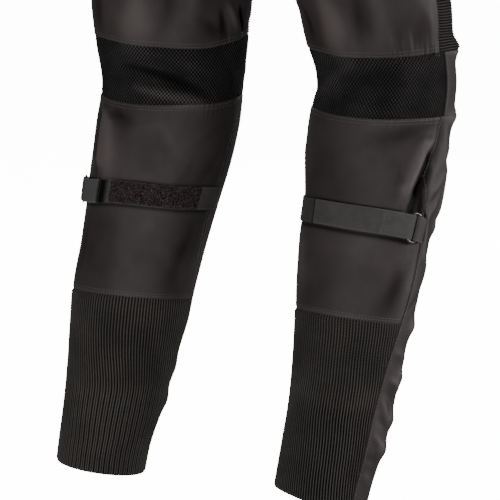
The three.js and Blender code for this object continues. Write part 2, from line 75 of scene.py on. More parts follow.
# z, centre x and y, half width, half depth to the front and back, turned outwards (degrees)
hipSections = [
    (40, 0, 2, 147, 113, 116, 0), (-20, 0, 2, 153, 116, 122, 0), (-95, 0, 2, 171, 121, 134, 0),
    (-165, 4, 1, 179, 121, 139, 0), (-210, 28, -1, 155, 115, 132, 0), (-240, 60, -4, 122, 107, 119, 0),
    (-256, 79, -7, 102, 102, 111, 0), (-268, 90, -9, 89.85, 98, 104, 0),
]
legSections = {
    "left": [
        (-320, 97, -20, 89, 90, 92, 7), (-385, 109, -35, 88, 79, 77, 16), (-449, 120, -49, 87, 71, 66, 20),
        (-492, 125, -58, 83, 74, 63, 20), (-534, 128, -64, 78, 77, 60, 20),
        (-576, 130, -57, 79, 72, 66, 18), (-618, 131, -44, 77, 65, 65, 16),
        (-660, 134, -31, 73, 60, 63, 15), (-702, 137, -17, 70, 56, 60, 14),
        (-744, 140, -3, 68, 52, 56, 14), (-786, 140, 11, 64, 49, 52, 14), (-829, 141, 26, 58, 48, 50, 13),
        (-872, 142, 40, 54, 48, 49, 12), (-915, 145, 55, 49, 47, 48, 10), (-960, 144, 70, 47, 46, 47, 10),
    ],
    "right": [
        (-320, 97, -20, 89, 88, 92, 7), (-385, 110, -35, 88, 76, 77, 16), (-438, 121, -47, 88, 68, 67, 20),
        (-479, 123, -56, 84, 67, 65, 20), (-520, 127, -64, 79, 69, 62, 20),
        (-561, 124, -61, 79, 68, 67, 18), (-601, 125, -50, 77, 65, 66, 16),
        (-641, 127, -37, 74, 61, 63, 15), (-681, 125, -24, 72, 57, 60, 14),
        (-720, 126, -11, 70, 54, 57, 14), (-760, 127, 3, 65, 50, 53, 14), (-800, 127, 16, 60, 48, 50, 13),
        (-840, 127, 29, 56, 48, 50, 12), (-880, 125, 43, 54, 48, 49, 11), (-920, 121, 57, 50, 48, 48, 10),
        (-960, 118, 70, 48, 47, 47, 10),
    ],
}
sections = {side: hipSections + legSections[side] for side in legSections}

# Large folds, as in the solids: from w, z to w, z, then width and height
folds = {
    "left": [
        (1.33, -562, 1.32, -612, 9, 4), (1.25, -570, 1.24, -608, 8, -2.5), (0.9, -485, 0.38, -483, 11, 5),
        (2.16, -470, 2.05, -477, 8, -2.5), (2.2, -838, 2.02, -822, 11, 2.5),
        (2.22, -872, 2.05, -860, 10, 2.5), (0.5, -740, 0.25, -765, 12, 3),
    ],
    "right": [
        (0.93, -485, 0.4, -484, 10, 6), (0.98, -556, 0.5, -556, 8, 3.5), (1.125, -592, 1.165, -622, 8, -5),
        (1.17, -578, 1.24, -618, 8, 3), (0.86, -612, 0.94, -664, 9, 3.5), (0.8, -765, 0.98, -762, 9, 3.5),
        (0.8, -822, 1, -808, 8, 3), (0.8, -862, 1, -850, 8, 3), (0.82, -890, 1.02, -878, 8, 3),
    ],
}

# Finer creases: from w, z to w, z, width, height, and how far the middle bows aside
creases = {
    "left": [
        (1.44, -512, 1.83, -543, 4.5, -5, -4), (1.49, -534, 1.81, -549, 6.5, 4.2, 1),
        (1.56, -497, 1.88, -524, 6, 0.9, -2), (1.9, -505, 2.06, -535, 7, -1.4, 2),
        (1.22, -500, 1.3, -545, 6, -0.8, 2), (1.98, -448, 2.03, -473, 3.5, -4.6, 0),
        (2.1, -440, 2.09, -476, 5, -2, 1), (1.905, -446, 1.965, -473, 4.5, 3.4, 0),
        (1.87, -452, 1.9, -478, 4, -3.6, 0), (1.79, -462, 1.87, -481, 8, -2.8, 0),
        (1.3, -430, 1.28, -478, 13, -3, 2), (1.52, -436, 1.5, -486, 17, 4.2, 0),
        (1.64, -425, 1.645, -474, 6, -2, -2), (1.76, -425, 1.74, -470, 10, 1.8, 2),
        (1.4, -566, 1.5, -632, 12, 1.6, 3), (1.9, -688, 1.86, -742, 10, -1.8, 2),
        (1.5, -680, 1.56, -742, 14, 1.4, 4), (1.3, -672, 1.28, -740, 8, -1.2, 2),
        (2.12, -440, 1.96, -449, 6, 1.4, 2), (1.06, -568, 1.12, -640, 7, 1.4, 3),
        (1.31, -556, 1.46, -568, 5.5, -3.6, 0), (1.265, -566, 1.3, -632, 3.5, -3, -1),
        (1.365, -574, 1.39, -632, 9, 3.8, 0), (1.56, -572, 1.6, -622, 14, -1.3, 0),
        (1.62, -575, 1.72, -606, 6, -0.7, 3), (1.78, -612, 1.7, -634, 6, 0.8, -2),
        (1.9, -566, 1.72, -598, 7, 0.9, -3), (2, -590, 1.86, -640, 6, -0.9, 3),
        (1.2, -705, 1.95, -705, 28, -1.2, 0), (1.75, -700, 2.04, -735, 9, 0.8, 4),
        (0.82, -570, 0.55, -596, 8, 2, 4), (0.3, -575, 0.5, -610, 8, 1.6, -4),
        (0.95, -660, 0.75, -690, 8, 1.8, 3), (0.2, -690, 0.42, -722, 8, 1.5, -3),
        (0.9, -790, 0.62, -806, 7, 2, 3), (0.3, -800, 0.55, -822, 7, 1.6, -3),
        (0.94, -842, 0.7, -862, 6, 2, 3), (0.35, -862, 0.62, -880, 6, 1.8, -3),
        (0.92, -898, 0.66, -912, 6, 1.6, 2), (0.2, -520, 0.7, -528, 8, 1.8, 4),
        (1.15, -395, 1.5, -430, 10, 1.6, 5), (1.95, -330, 1.6, -372, 11, 2, 6),
        (2.1, -400, 1.8, -428, 9, 1.5, -4), (0.1, -300, 0.5, -345, 11, 2.6, 6),
        (0.9, -320, 0.55, -362, 11, 2, -6), (0.15, -262, 0.62, -275, 10, 2.6, 8),
        (0.2, -232, 0.7, -218, 11, 2.2, 7), (1.85, -262, 1.4, -292, 11, 2.6, -8),
        (1.9, -230, 1.35, -225, 12, 2.2, -8), (1.12, -150, 1.5, -188, 14, 1.6, 6),
        (0.4, -120, 0.8, -160, 13, 1.6, -5),
    ],
    "right": [
        (1.52, -497, 1.84, -542, 7, 1.6, 0), (1.64, -497, 1.92, -535, 5, -1.4, 0),
        (1.4, -500, 1.7, -548, 8, -1.6, 2), (1.3, -548, 1.6, -538, 6, 1, 2),
        (1.16, -500, 1.24, -540, 8, -1, 3), (1.13, -470, 1.2, -440, 6, 1, -3),
        (1.13, -486, 1.15, -440, 4, 0.8, 2), (1.2, -486, 1.21, -452, 7, -1.6, 1),
        (1.26, -486, 1.27, -462, 2.6, 0.9, 0), (1.235, -486, 1.24, -466, 2.4, -0.9, 0),
        (1.3, -486, 1.305, -468, 2.4, -0.8, 0), (1.335, -486, 1.34, -464, 2.6, 0.7, 0),
        (1.39, -425, 1.38, -480, 12, 1.8, 2), (1.47, -425, 1.49, -484, 9, -2.4, 0),
        (1.63, -425, 1.57, -486, 14, 4.2, 1), (1.8, -440, 1.74, -478, 9, -3.2, 0),
        (1.93, -428, 1.95, -484, 9, 1.6, 2), (1.9, -560, 1.82, -634, 12, 1.5, -4),
        (1.2, -700, 1.27, -746, 12, -2.2, 3), (1.07, -652, 1.03, -692, 5, 2.8, 0),
        (1.02, -566, 0.99, -596, 5, 2, 0), (1.8, -662, 1.75, -730, 14, 3.2, 3),
        (1.05, -556, 1.075, -600, 5, -3, 0), (1.1, -562, 1.42, -570, 9, -2.6, 1),
        (1.3, -590, 1.26, -632, 6, -1.2, 3), (1.78, -566, 1.9, -600, 7, 0.9, 3),
        (1.12, -690, 1.2, -742, 8, -1.2, -3), (1.2, -706, 1.7, -706, 28, -1.2, 0),
        (1.125, -576, 1.255, -636, 6, 3.6, 0), (1.11, -606, 1.195, -646, 5.5, -7.5, 0),
        (1.118, -630, 1.135, -646, 5, -6.5, 0), (0.93, -604, 1.05, -627, 5, 2.4, 1),
        (0.96, -620, 1.06, -640, 4, -1.8, 1), (0.97, -632, 1.08, -651, 5, 2.2, 1),
        (0.98, -640, 0.9, -672, 5, -2.2, 2), (0.88, -585, 1, -603, 6, 1.4, -2),
        (1.02, -690, 0.9, -716, 6, 1.8, 2), (1.06, -742, 0.92, -728, 5, -1.6, 2),
        (1.1, -784, 0.93, -797, 5, 1.8, 2), (1.08, -812, 0.95, -824, 3.6, 3, 1),
        (1.1, -822, 0.98, -836, 4, -1.6, 1), (1.13, -830, 1.03, -854, 3.6, 3.2, 1),
        (1.12, -848, 1, -862, 4, -1.6, 1), (1.12, -865, 1.02, -880, 3.8, 3, 1),
        (1.13, -886, 1, -894, 4, -1.4, 1), (1.12, -904, 1, -918, 5, 1.8, 2),
        (0.62, -574, 0.3, -600, 8, 1.8, 4), (0.28, -640, 0.55, -668, 8, 1.6, -4),
        (0.7, -700, 0.42, -722, 8, 1.8, 3), (0.3, -775, 0.58, -792, 7, 1.8, -3),
        (0.68, -842, 0.4, -858, 6, 1.8, 3), (0.25, -884, 0.5, -902, 6, 1.6, -2),
        (0.2, -522, 0.66, -516, 8, 1.8, -4), (1.2, -392, 1.5, -424, 10, 1.4, 5),
        (1.98, -318, 1.62, -366, 11, 2.2, 6), (2.08, -418, 1.76, -444, 9, 1.5, -4),
        (0.08, -308, 0.52, -338, 11, 2.4, 6), (0.85, -330, 0.52, -378, 11, 2, -6),
        (0.12, -258, 0.58, -282, 10, 2.6, 8), (0.18, -226, 0.66, -208, 11, 2.2, 7),
        (1.82, -258, 1.36, -284, 11, 2.4, -8), (1.88, -222, 1.4, -232, 12, 2.2, -8),
        (1.15, -140, 1.55, -176, 14, 1.6, 6), (0.35, -110, 0.78, -150, 13, 1.6, -5),
    ],
}

# Small gathers beside a seam of the knit band: from w, to w, reach down (up if it is
# negative), pitch and height
gathers = {
    "left": [
        ("bottom", 1.78, 2.12, 15, 5.2, 0.75), ("bottom", 1.06, 1.46, 10, 6.5, 0.45),
        ("bottom", 1.46, 1.8, 7, 4.6, 0.35), ("top", 1.86, 2.14, -14, 6, 0.7),
        ("top", 1.12, 1.5, -11, 6.5, 0.55), ("top", 1.5, 1.86, -7, 5, 0.35),
        ("bottom", 0.2, 1.04, 12, 7.5, 0.7),
    ],
    "right": [
        ("top", 1.1, 1.36, -24, 5.4, 0.95), ("top", 1.36, 1.8, -8, 4.8, 0.4),
        ("top", 1.8, 2.12, -12, 6, 0.55), ("bottom", 1.08, 1.4, 11, 6, 0.5),
        ("bottom", 1.4, 1.76, 7, 4.6, 0.3), ("bottom", 1.76, 2.1, 11, 6.4, 0.5),
        ("bottom", 0.2, 1.04, 13, 6.5, 0.8),
    ],
}

# Upright seams: z and w
outerSeam = [(40, 1), (-268, 1.02), (-400, 1.085), (-500, 1.095)]
innerSeam = [(-268, 2), (-400, 2.13), (-492, 2.17), (-551, 2.17)]
calfOuter = [
    (-543, 1.062), (-575, 1.1), (-614, 1.125), (-646, 1.1), (-680, 1.077), (-722, 1.088), (-762, 1.118),
    (-801, 1.148), (-860, 1.168), (-923, 1.145), (-970, 1.13),
]
calfInner = [
    (-543, 2.14), (-575, 2.045), (-600, 2.02), (-634, 2.005), (-676, 1.995), (-722, 2.04), (-762, 2.1),
    (-801, 2.18), (-850, 2.22), (-970, 2.24),
]
kneeOuter = 1.055

# Level seams that lean: mean z, rise, and the w where they are highest
cuffSeam = {"left": (-757, 7, 1.42), "right": (-756, 9, 1.6)}
hem = {"left": (-936, 7, 1.3), "right": (-939.5, 17, 1.7)}

# The knit band's upper and lower seams all round the knee: w and z
kneeTop = {
    "left": [
        (0, -484.5), (0.1, -481), (0.17, -480.5), (0.35, -482), (0.6, -484), (0.9, -483.5), (1.06, -482.5),
        (1.31, -484), (1.5, -488.5), (1.7, -492.5), (1.82, -492), (1.95, -486.5), (2.1, -481),
        (2.17, -480.5), (2.35, -482),
    ],
    "right": [
        (0, -487), (0.1, -486.3), (0.17, -486), (0.35, -487), (0.6, -488), (0.95, -487), (1.1, -487),
        (1.21, -489), (1.32, -491), (1.5, -492.5), (1.65, -490.5), (1.8, -489), (2, -487), (2.1, -486.3),
        (2.17, -486), (2.35, -487),
    ],
}
kneeBottom = {
    "left": [
        (0, -548), (0.1, -546), (0.17, -545.5), (0.35, -546.5), (0.6, -548), (0.9, -545.5), (1.055, -544),
        (1.16, -545), (1.38, -550), (1.52, -552), (1.72, -552), (1.89, -551), (2, -548), (2.1, -546),
        (2.17, -545.5), (2.35, -546.5),
    ],
    "right": [
        (0, -547), (0.1, -546.8), (0.17, -547), (0.35, -549), (0.6, -551), (1.055, -552.5), (1.23, -552.5),
        (1.39, -553), (1.54, -552), (1.68, -550), (1.8, -548), (2, -547), (2.1, -546.8), (2.17, -547),
        (2.35, -549),
    ],
}

# Middle line of the calf strap: w and z
strapLine = {
    "left": [
        (1, -649), (1.3, -647), (1.45, -643.5), (1.6, -644.5), (1.78, -648.5), (1.94, -651.5), (2.1, -655),
    ],
    "right": [
        (1, -667), (1.09, -664.5), (1.165, -660), (1.32, -653.5), (1.5, -649.5), (1.66, -648.5),
        (1.85, -651), (2.1, -654),
    ],
}
strapEnd = {"left": 1.36, "right": 1.66}
loopField = {"left": (1.44, 1.87), "right": (1.26, 1.62)}

# How far the cuff's ribs run sideways from the panel's own lines, in mm at a height
ribDrift = {
    "left": [
        (-742, -3.5), (-757, 0), (-772, 3.5), (-790, 7.5), (-809, 8.1), (-827, 5.9), (-846, 3.3),
        (-864, 3.3), (-882, 1.7), (-901, -1.9), (-930, -4.8), (-950, -6),
    ],
    "right": [
        (-740, -5), (-756, 0), (-778, 6.4), (-796, 12.3), (-813, 16.7), (-831, 19.4), (-848, 21.4),
        (-865, 24.3), (-883, 27), (-900, 29.9), (-925, 35), (-950, 40),
    ],
}

# Where every second groove of the cuff fades: its z, and how much of it is left
coarseBelow = {"left": (-836, 0.5), "right": (-846, 1)}
# How deep the grooves are above that line and below it
grooveDepth = {"left": (1.1, 1.45), "right": (1.05, 1.6)}


def mix(a, b, t):
    return a + (b - a) * t


def bySide(side, left, right):
    return left if side == "left" else right


def smooth(t):
    t = np.clip(t, 0, 1)
    return t * t * (3 - 2 * t)


def along(table, at, column=1):
    # a smooth curve through a table's rows, read at one column
    rows = np.array(sorted(table), float)
    x, y = rows[:, 0], rows[:, column]
    last = len(x) - 1
    n = np.arange(last + 1)
    before, after = np.maximum(n - 1, 0), np.minimum(n + 1, last)
    slope = (y[after] - y[before]) / (x[after] - x[before])
    k = np.clip(np.searchsorted(x, at) - 1, 0, last - 1)
    span = x[k + 1] - x[k]
    t = np.clip((at - x[k]) / span, 0, 1)
    start = span * slope[k] * t * (1 - t) ** 2
    return mix(y[k], y[k + 1], smooth(t)) + start - span * slope[k + 1] * t * t * (1 - t)


def sectionPoint(side, w, z):
    # a point of the bare form, and the middle of the leg at its height
    x, y, wide, front, back, turn = (along(sections[side], z, n) for n in range(1, 7))
    x = np.maximum(x, 0)
    turn = np.radians(turn)
    start = np.arccos(np.clip((x - halfGap) / wide, -1, 1))
    above = np.where(w <= 1, mix(start, np.pi, w), mix(np.pi, 2 * np.pi - start, w - 1))
    angle = np.where(z <= crotchZ, np.pi * w, above)
    own = angle - turn
    out = -np.cos(own) * wide
    fore = np.sin(own) * np.where(np.sin(own) > 0, front, back)
    outer = out * np.cos(turn) + fore * np.sin(turn)
    ahead = fore * np.cos(turn) - out * np.sin(turn)
    sign = bySide(side, 1, -1)
    rise = backRise * smooth((z - crotchZ) / -crotchZ)
    rise = rise * (((1 - np.sin(angle)) / 2) ** 1.5 - 0.4)
    at = np.stack([sign * (x + outer), y - ahead, z + rise], -1)
    return at, np.stack([sign * x, y + 0 * x, z + rise], -1)


def ridges(rows, w, z, bowed):
    total = np.zeros_like(w)
    for row in rows:
        w0, z0, w1, z1, width, height = row[:6]
        px = w - w0
        px = (px - 2 * np.round(px / 2)) / wPerMm
        ex, ez = (w1 - w0) / wPerMm, z1 - z0
        long = math.hypot(ex, ez)
        t = (px * ex + (z - z0) * ez) / long**2
        far = np.abs(np.clip(t, 0, 1) - t) * long
        t = np.clip(t, 0, 1)
        aside = (px * ez - (z - z0) * ex) / long
        if bowed:
            aside = aside - row[6] * 4 * t * (1 - t)
            width = width * (0.75 + 0.5 * t)
            height = height * (1 - 0.5 * (2 * t - 1) ** 2)
        total += height * np.exp(-(aside**2 + far**2) / width**2)
    return total


def creaseHeight(side, w, z):
    return ridges(folds[side], w, z, False) + ridges(creases[side], w, z, True)


def gatherHeight(side, w, z):
    total = np.zeros_like(w)
    seams = {"top": along(kneeTop[side], w), "bottom": along(kneeBottom[side], w)}
    for n, (seam, w0, w1, reach, pitch, height) in enumerate(gathers[side]):
        d = (seams[seam] - z) / reach
        u = (w - w0) / (w1 - w0)
        mm = (w - w0) / wPerMm
        wave = np.sin(2 * np.pi * mm / pitch + 1.3 * np.sin(mm / 9 + n))
        uneven = 0.65 + 0.35 * np.sin(mm / 6.7 + 2 * n)
        near = np.exp(-((np.maximum(d, 0) * 1.3) ** 2)) * (d > -0.25)
        total += height * wave * uneven * near * smooth(u * 8) * smooth((1 - u) * 8)
    return total


def halfPlace(side, w, z, out, bridged):
    at, centre = sectionPoint(side, w, z)
    top = z > crotchZ
    wa = np.where(top, np.maximum(w - 0.004, 0), w - 0.004)
    wb = np.where(top, np.minimum(w + 0.004, 2), w + 0.004)
    across = sectionPoint(side, wb, z)[0] - sectionPoint(side, wa, z)[0]
    down = sectionPoint(side, w, z - 1)[0] - sectionPoint(side, w, z + 1)[0]
    normal = np.cross(across, down)
    normal /= np.linalg.norm(normal, axis=-1, keepdims=True)
    inward = np.sum(normal * (at - centre), -1, keepdims=True) < 0
    normal = np.where(inward, -normal, normal)
    if not bridged:
        out = out + (creaseHeight(side, w, z) + gatherHeight(side, w, z))
    return at + normal * out[..., None]


def place(side, w, z, out=0.0, bridged=False):
    # a point of the garment moved out; "both" runs over the mid-plane to the right half,
    # and a bridged piece lies straight over the creases
    w, z, out = np.broadcast_arrays(*(np.asarray(a, float) for a in (w, z, out)))
    if side != "both":
        return halfPlace(side, w, z, out, bridged)
    right = (w < 0) | (w > 2)
    mirrored = np.where(w < 0, -w, 4 - w)
    there = halfPlace("right", np.where(right, mirrored, 1), z, out, bridged)
    here = halfPlace("left", np.where(right, 1, w), z, out, bridged)
    return np.where(right[..., None], there, here)


def level(value):
    return lambda at: value + 0 * at


def curve(table, shift=0):
    return lambda at: along(table, at) + shift


def leaning(seam):
    return lambda w: seam[0] + seam[1] * np.cos(np.pi * (w - seam[2]))


def seamLines(side):
    upright = [curve(table) for table in (outerSeam, innerSeam, calfOuter, calfInner)]
    knee = [curve(kneeTop[side]), curve(kneeBottom[side])]
    return *upright, *knee, leaning(cuffSeam[side]), leaning(hem[side])


print("surface functions ready")


def newObject(name, data):
    made = bpy.data.objects.new(name, data)
    bpy.context.scene.collection.objects.link(made)
    return made


def newPiece(name, points, faces, uv, marks, looks):
    # a finished mesh object in metres, its faces outwards
    mesh = bpy.data.meshes.new(name)
    mesh.from_pydata((np.asarray(points) / 1000).tolist(), [], [list(f) for f in faces])
    mesh.validate()
    mesh.polygons.foreach_set("use_smooth", [True] * len(mesh.polygons))
    layer = mesh.uv_layers.new(name="UVMap")
    index = np.zeros(len(mesh.loops), int)
    mesh.loops.foreach_get("vertex_index", index)
    layer.data.foreach_set("uv", (np.asarray(uv) / 1000)[index].ravel())
    for key, values in marks.items():
        mark = mesh.attributes.new(key, "FLOAT", "POINT")
        mark.data.foreach_set("value", np.asarray(values, float))
    mesh.set_sharp_from_angle(angle=math.radians(sharpDegrees))
    mesh.materials.append(looks)
    return newObject(name, mesh)


def register(piece, shape):
    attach(piece, "root")
    if "nodes" in shape:
        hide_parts(*shape["nodes"])


def quads(grid):
    corners = [grid[:-1, :-1], grid[1:, :-1], grid[1:, 1:], grid[:-1, 1:]]
    return np.stack([c.ravel() for c in corners], 1)


def numbered(grid, first=0):
    # the points' numbers, in the shape of their grid
    return first + np.arange(grid.shape[0] * grid.shape[1]).reshape(grid.shape[:2])


def shell(name, outer, inner, uvOuter, uvInner, marks, looks):
    # closed body between an outer and an inner grid, which may differ in fineness
    a = numbered(outer)
    b = numbered(inner, a.size)
    points = np.concatenate([outer.reshape(-1, 3), inner.reshape(-1, 3)])
    faces = quads(a).tolist() + quads(b)[:, ::-1].tolist()
    rims = [[g[:, 0], g[-1], g[::-1, -1], g[0, ::-1]] for g in (a, b)]
    for p, q in zip(*rims):
        i = k = 0
        while i < len(p) - 1 or k < len(q) - 1:
            nextP = (i + 1) / (len(p) - 1) if i < len(p) - 1 else 2
            nextQ = (k + 1) / (len(q) - 1) if k < len(q) - 1 else 2
            if nextP <= nextQ:
                faces.append([p[i + 1], p[i], q[k]])
                i += 1
            else:
                faces.append([q[k], q[k + 1], p[i]])
                k += 1
    corner = points[np.array([f[:3] for f in faces])]
    if np.sum(corner[:, 0] * np.cross(corner[:, 1], corner[:, 2])) < 0:
        faces = [f[::-1] for f in faces]
    uv = np.concatenate([uvOuter.reshape(-1, 2), uvInner.reshape(-1, 2)])
    for key, mark in marks.items():
        inside = mark.ravel() if a.shape == b.shape else np.full(b.size, mark.min())
        marks[key] = np.concatenate([mark.ravel(), inside])
    return newPiece(name, points, faces, uv, marks, looks)


def spots(edges, past, cols, rows):
    # an even grid between a panel's four edges, some of which reach past their seam;
    # as each edge depends on the others, a few rounds settle them
    first, last, top, bottom = edges
    u, t = np.meshgrid(np.linspace(0, 1, cols + 1), np.linspace(0, 1, rows + 1), indexing="ij")
    w = mix(first(-500.0), last(-500.0), u)
    for n in range(6):
        z = mix(top(w) + past["top"], bottom(w) - past["bottom"], t)
        w = mix(first(z) - past["from"] * wPerMm, last(z) + past["to"] * wPerMm, u)
    return w, z, u, t


def edgeDip(edges, past, w, z):
    # the outer face turns down at each edge, deeper where it tucks under its neighbour
    first, last, top, bottom = edges
    away = {
        "top": top(w) - z,
        "bottom": z - bottom(w),
        "from": (w - first(z)) / wPerMm,
        "to": (last(z) - w) / wPerMm,
    }
    dip = np.zeros_like(w)
    for edge, d in away.items():
        if past[edge] > 0:
            dip = np.minimum(dip, -1.45 * (1 - smooth((d + 0.2) / 3.4)))
        else:
            dip = np.minimum(dip, -0.75 * (1 - smooth((d + 0.1) / 1.3)) ** 2)
    return dip, np.min(list(away.values()), axis=0)


def strapShade(side, w, z):
    # painted shadow on the cloth just below the strap's lower edge, and a fainter one just above its upper
    # edge
    d = z - along(strapLine[side], w) + strapWide / 2
    low, wide, most = bySide(side, (1.8, 1.8, 0.85), (2.7, 2.3, 1))
    soft = np.exp(-(((d + low) / wide) ** 2)) + 0.45 * np.exp(-(((d - strapWide - 1) / 1.6) ** 2))
    return most * soft * smooth((w - 1.12) * 12) * smooth((2.02 - w) * 12)


def clothPanel(name, side, shape):
    # a panel between two upright and two level edges, each a curve or a plain number
    edges = [edge if callable(edge) else level(edge) for edge in shape["edges"]]
    past = dict.fromkeys(("from", "to", "top", "bottom"), -halfGap) | shape.get("past", {})
    first, last, top, bottom = edges
    wide = abs(last(-560.0) - first(-560.0)) / wPerMm
    tall = abs(top(1.5) - bottom(1.5))
    cols = shape.get("cols") or round(wide / shape["step"])
    rows = shape.get("rows") or round(tall / shape["step"])
    w, z, u, t = spots(edges, past, cols, rows)
    dip, nearest = edgeDip(edges, past, w, z)
    leg = "left" if side == "both" else side
    rise = creaseHeight(leg, w, z)
    beside = np.minimum(w - first(z), last(z) - w) / wPerMm
    # painted shade beside the upright seams
    seamShade = 0.85 * np.exp(-((beside / 1.3) ** 2))
    marks = {
        "edge": np.exp(-np.maximum(nearest, 0) / 2.5),
        # painted shade in crease troughs, beside the upright seams and along the strap's edges
        "paintedShade": np.maximum(smooth(-rise / 4.5), np.maximum(seamShade, strapShade(leg, w, z))),
        # painted highlight on crease ridges
        "paintedHighlight": smooth(rise / 4.5),
    }
    relief = 0
    if "relief" in shape:
        # the ribs' height, also kept as a mark for the painted shade in their grooves
        relief, marks["groove"] = shape["relief"](u, t, w, z)
        relief = relief * smooth(nearest / 2 + 0.3)
    lift, coarser = shape.get("lift", 0), shape.get("inside", 2)
    outer = place(side, w, z, lift + dip + relief)
    iw, iz = spots(edges, past, round(cols / coarser), round(rows / coarser))[:2]
    thick = shape.get("thick", clothThick)
    inner = place(side, iw, iz, lift + edgeDip(edges, past, iw, iz)[0] - thick)
    uvs = [np.stack([a / wPerMm, b], -1) for a, b in ((w, z), (iw, iz))]
    register(shell(name, outer, inner, *uvs, marks, looks[shape["slot"]]), shape)


class Shader:
    # short names for the node calls of one material
    def __init__(self, name, roughness, specular=0.15):
        self.material = bpy.data.materials.new(name)
        self.material.use_nodes = True
        self.tree = self.material.node_tree
        self.body = self.tree.nodes["Principled BSDF"]
        self.set("Roughness", roughness)
        self.set("Specular IOR Level", specular)

    def set(self, socket, value):
        self.link(value, self.body.inputs[socket])

    def node(self, kind, **settings):
        made = self.tree.nodes.new("ShaderNode" + kind)
        for key, value in settings.items():
            setattr(made, key, value)
        return made

    def link(self, source, socket):
        if isinstance(source, (int, float)):
            socket.default_value = source
        elif isinstance(source, tuple):
            socket.default_value = (*source, 1)
        else:
            self.tree.links.new(source, socket)

    def maths(self, kind, *sources):
        made = self.node("Math", operation=kind)
        for source, socket in zip(sources, made.inputs):
            self.link(source, socket)
        return made.outputs[0]

    def times(self, a, b):
        return self.maths("MULTIPLY", a, b)

    def scaled(self, value, gain, offset):
        return self.maths("MULTIPLY_ADD", value, gain, offset)

    def blend(self, share, a, b):
        made = self.node("Mix", data_type="RGBA")
        for source, number in ((share, 0), (a, 6), (b, 7)):
            self.link(source, made.inputs[number])
        return made.outputs[2]

    def mark(self, name):
        return self.node("Attribute", attribute_name=name).outputs["Fac"]

    def tint(self, base, mark, share, colour):
        return self.blend(self.times(self.mark(mark), share), base, colour)

    def dull(self, mark, specular):
        # less shine where the mark is
        self.set("Specular IOR Level", self.scaled(self.mark(mark), -0.85 * specular, specular))

    def uv(self):
        parts = self.node("SeparateXYZ")
        self.link(self.node("UVMap", uv_map="UVMap").outputs[0], parts.inputs[0])
        return parts.outputs[0], parts.outputs[1]

    def noise(self, scale, detail=3.0):
        made = self.node("TexNoise")
        self.link(scale, made.inputs["Scale"])
        self.link(detail, made.inputs["Detail"])
        self.link(self.node("TexCoord").outputs["Object"], made.inputs["Vector"])
        return made.outputs["Fac"]

    def wave(self, value, pitch):
        # 0 to 1 and back once for each pitch, in metres
        return self.scaled(self.maths("SINE", self.times(value, 2 * math.pi / pitch)), 0.5, 0.5)

    def finish(self, colour, height, strength, distance, sheen=(0, 0.5, (1, 1, 1))):
        # the colour, a relief and a sheen, given as weight, roughness and tint
        bump = self.node("Bump")
        self.link(strength, bump.inputs["Strength"])
        self.link(distance, bump.inputs["Distance"])
        self.link(height, bump.inputs["Height"])
        self.set("Normal", bump.outputs[0])
        self.set("Base Color", colour)
        for name, value in zip(("Weight", "Roughness", "Tint"), sheen):
            self.set("Sheen " + name, value)
        return self.material


def wovenLooks():
    cloth = Shader("wovenCloth", 0.62, 0.16)
    u, v = cloth.uv()
    weave = cloth.times(cloth.wave(u, 0.0011), cloth.wave(v, 0.0009))
    large = cloth.scaled(cloth.noise(16), 2.4, -0.7)
    base = cloth.blend(large, (0.0115, 0.0091, 0.0089), (0.0255, 0.0199, 0.0199))
    base = cloth.blend(cloth.times(weave, 0.5), base, (0.0095, 0.0076, 0.0076))
    base = cloth.tint(base, "edge", 0.35, (0.04, 0.034, 0.033))
    # painted highlight on crease ridges, and painted shade in crease troughs, beside seams and along the
    # strap, with less shine there
    base = cloth.tint(base, "paintedHighlight", 0.65, (0.056, 0.046, 0.0455))
    base = cloth.tint(base, "paintedShade", 0.82, (0.002, 0.0017, 0.0017))
    cloth.dull("paintedShade", 0.16)
    cloth.set("Roughness", cloth.scaled(cloth.noise(60), 0.2, 0.5))
    relief = cloth.maths("ADD", weave, cloth.times(cloth.noise(75, 4.0), 2.2))
    return cloth.finish(base, relief, 0.35, 0.0004, (0.03, 0.4, (0.75, 0.66, 0.66)))


def knitLooks():
    cloth = Shader("knitMesh", 0.85, 0.06)
    u, v = cloth.uv()
    across = cloth.maths("COSINE", cloth.times(u, 2 * math.pi / 0.0034))
    down = cloth.maths("COSINE", cloth.times(v, 2 * math.pi / 0.0046))
    loops = cloth.scaled(cloth.times(across, down), 0.8, 0.62)
    height = cloth.maths("MINIMUM", cloth.maths("MAXIMUM", loops, 0.0), 1.0)
    yarn = cloth.maths("POWER", height, 1.5)
    base = cloth.blend(yarn, (0.0004, 0.0004, 0.0004), (0.0245, 0.0222, 0.022))
    large = cloth.scaled(cloth.noise(30, 2.0), 1.8, -0.6)
    base = cloth.blend(large, base, (0.0022, 0.0021, 0.0021))
    # painted highlight on the yarn of crease ridges, and painted shade in crease troughs, beside seams and
    # along the strap
    base = cloth.tint(base, "paintedHighlight", cloth.times(height, 0.9), (0.056, 0.051, 0.05))
    base = cloth.tint(base, "paintedShade", 0.8, (0.0006, 0.0006, 0.0006))
    return cloth.finish(base, height, 1.0, 0.0018, (0.01, 0.4, (0.6, 0.6, 0.62)))


def ribLooks(name, ridge, across, depth):
    # painted shade in the grooves between ridges of one colour, with fine stitches along the ribs
    cloth = Shader(name, 0.85, 0.08)
    u, v = cloth.uv()
    valley = (0.0001, 0.0001, 0.0001)
    stitches = cloth.wave(v if across else u, 0.0013)
    mottle = cloth.times(cloth.noise(90, 4.0), 0.4)
    top = cloth.blend(mottle, ridge, tuple(0.2 * c for c in ridge))
    large = cloth.scaled(cloth.noise(17, 2.0), 2.2, -0.85)
    top = cloth.blend(large, top, tuple(0.45 * c for c in ridge))
    # painted shade deepening from each rib's top down into its groove
    base = cloth.blend(cloth.maths("POWER", cloth.mark("groove"), depth), valley, top)
    base = cloth.blend(cloth.times(stitches, 0.35), base, valley)
    relief = cloth.maths("ADD", stitches, cloth.times(cloth.noise(420, 2.0), 0.8))
    return cloth.finish(base, relief, 0.55, 0.0006, (0.015, 0.5, (0.7, 0.68, 0.64)))


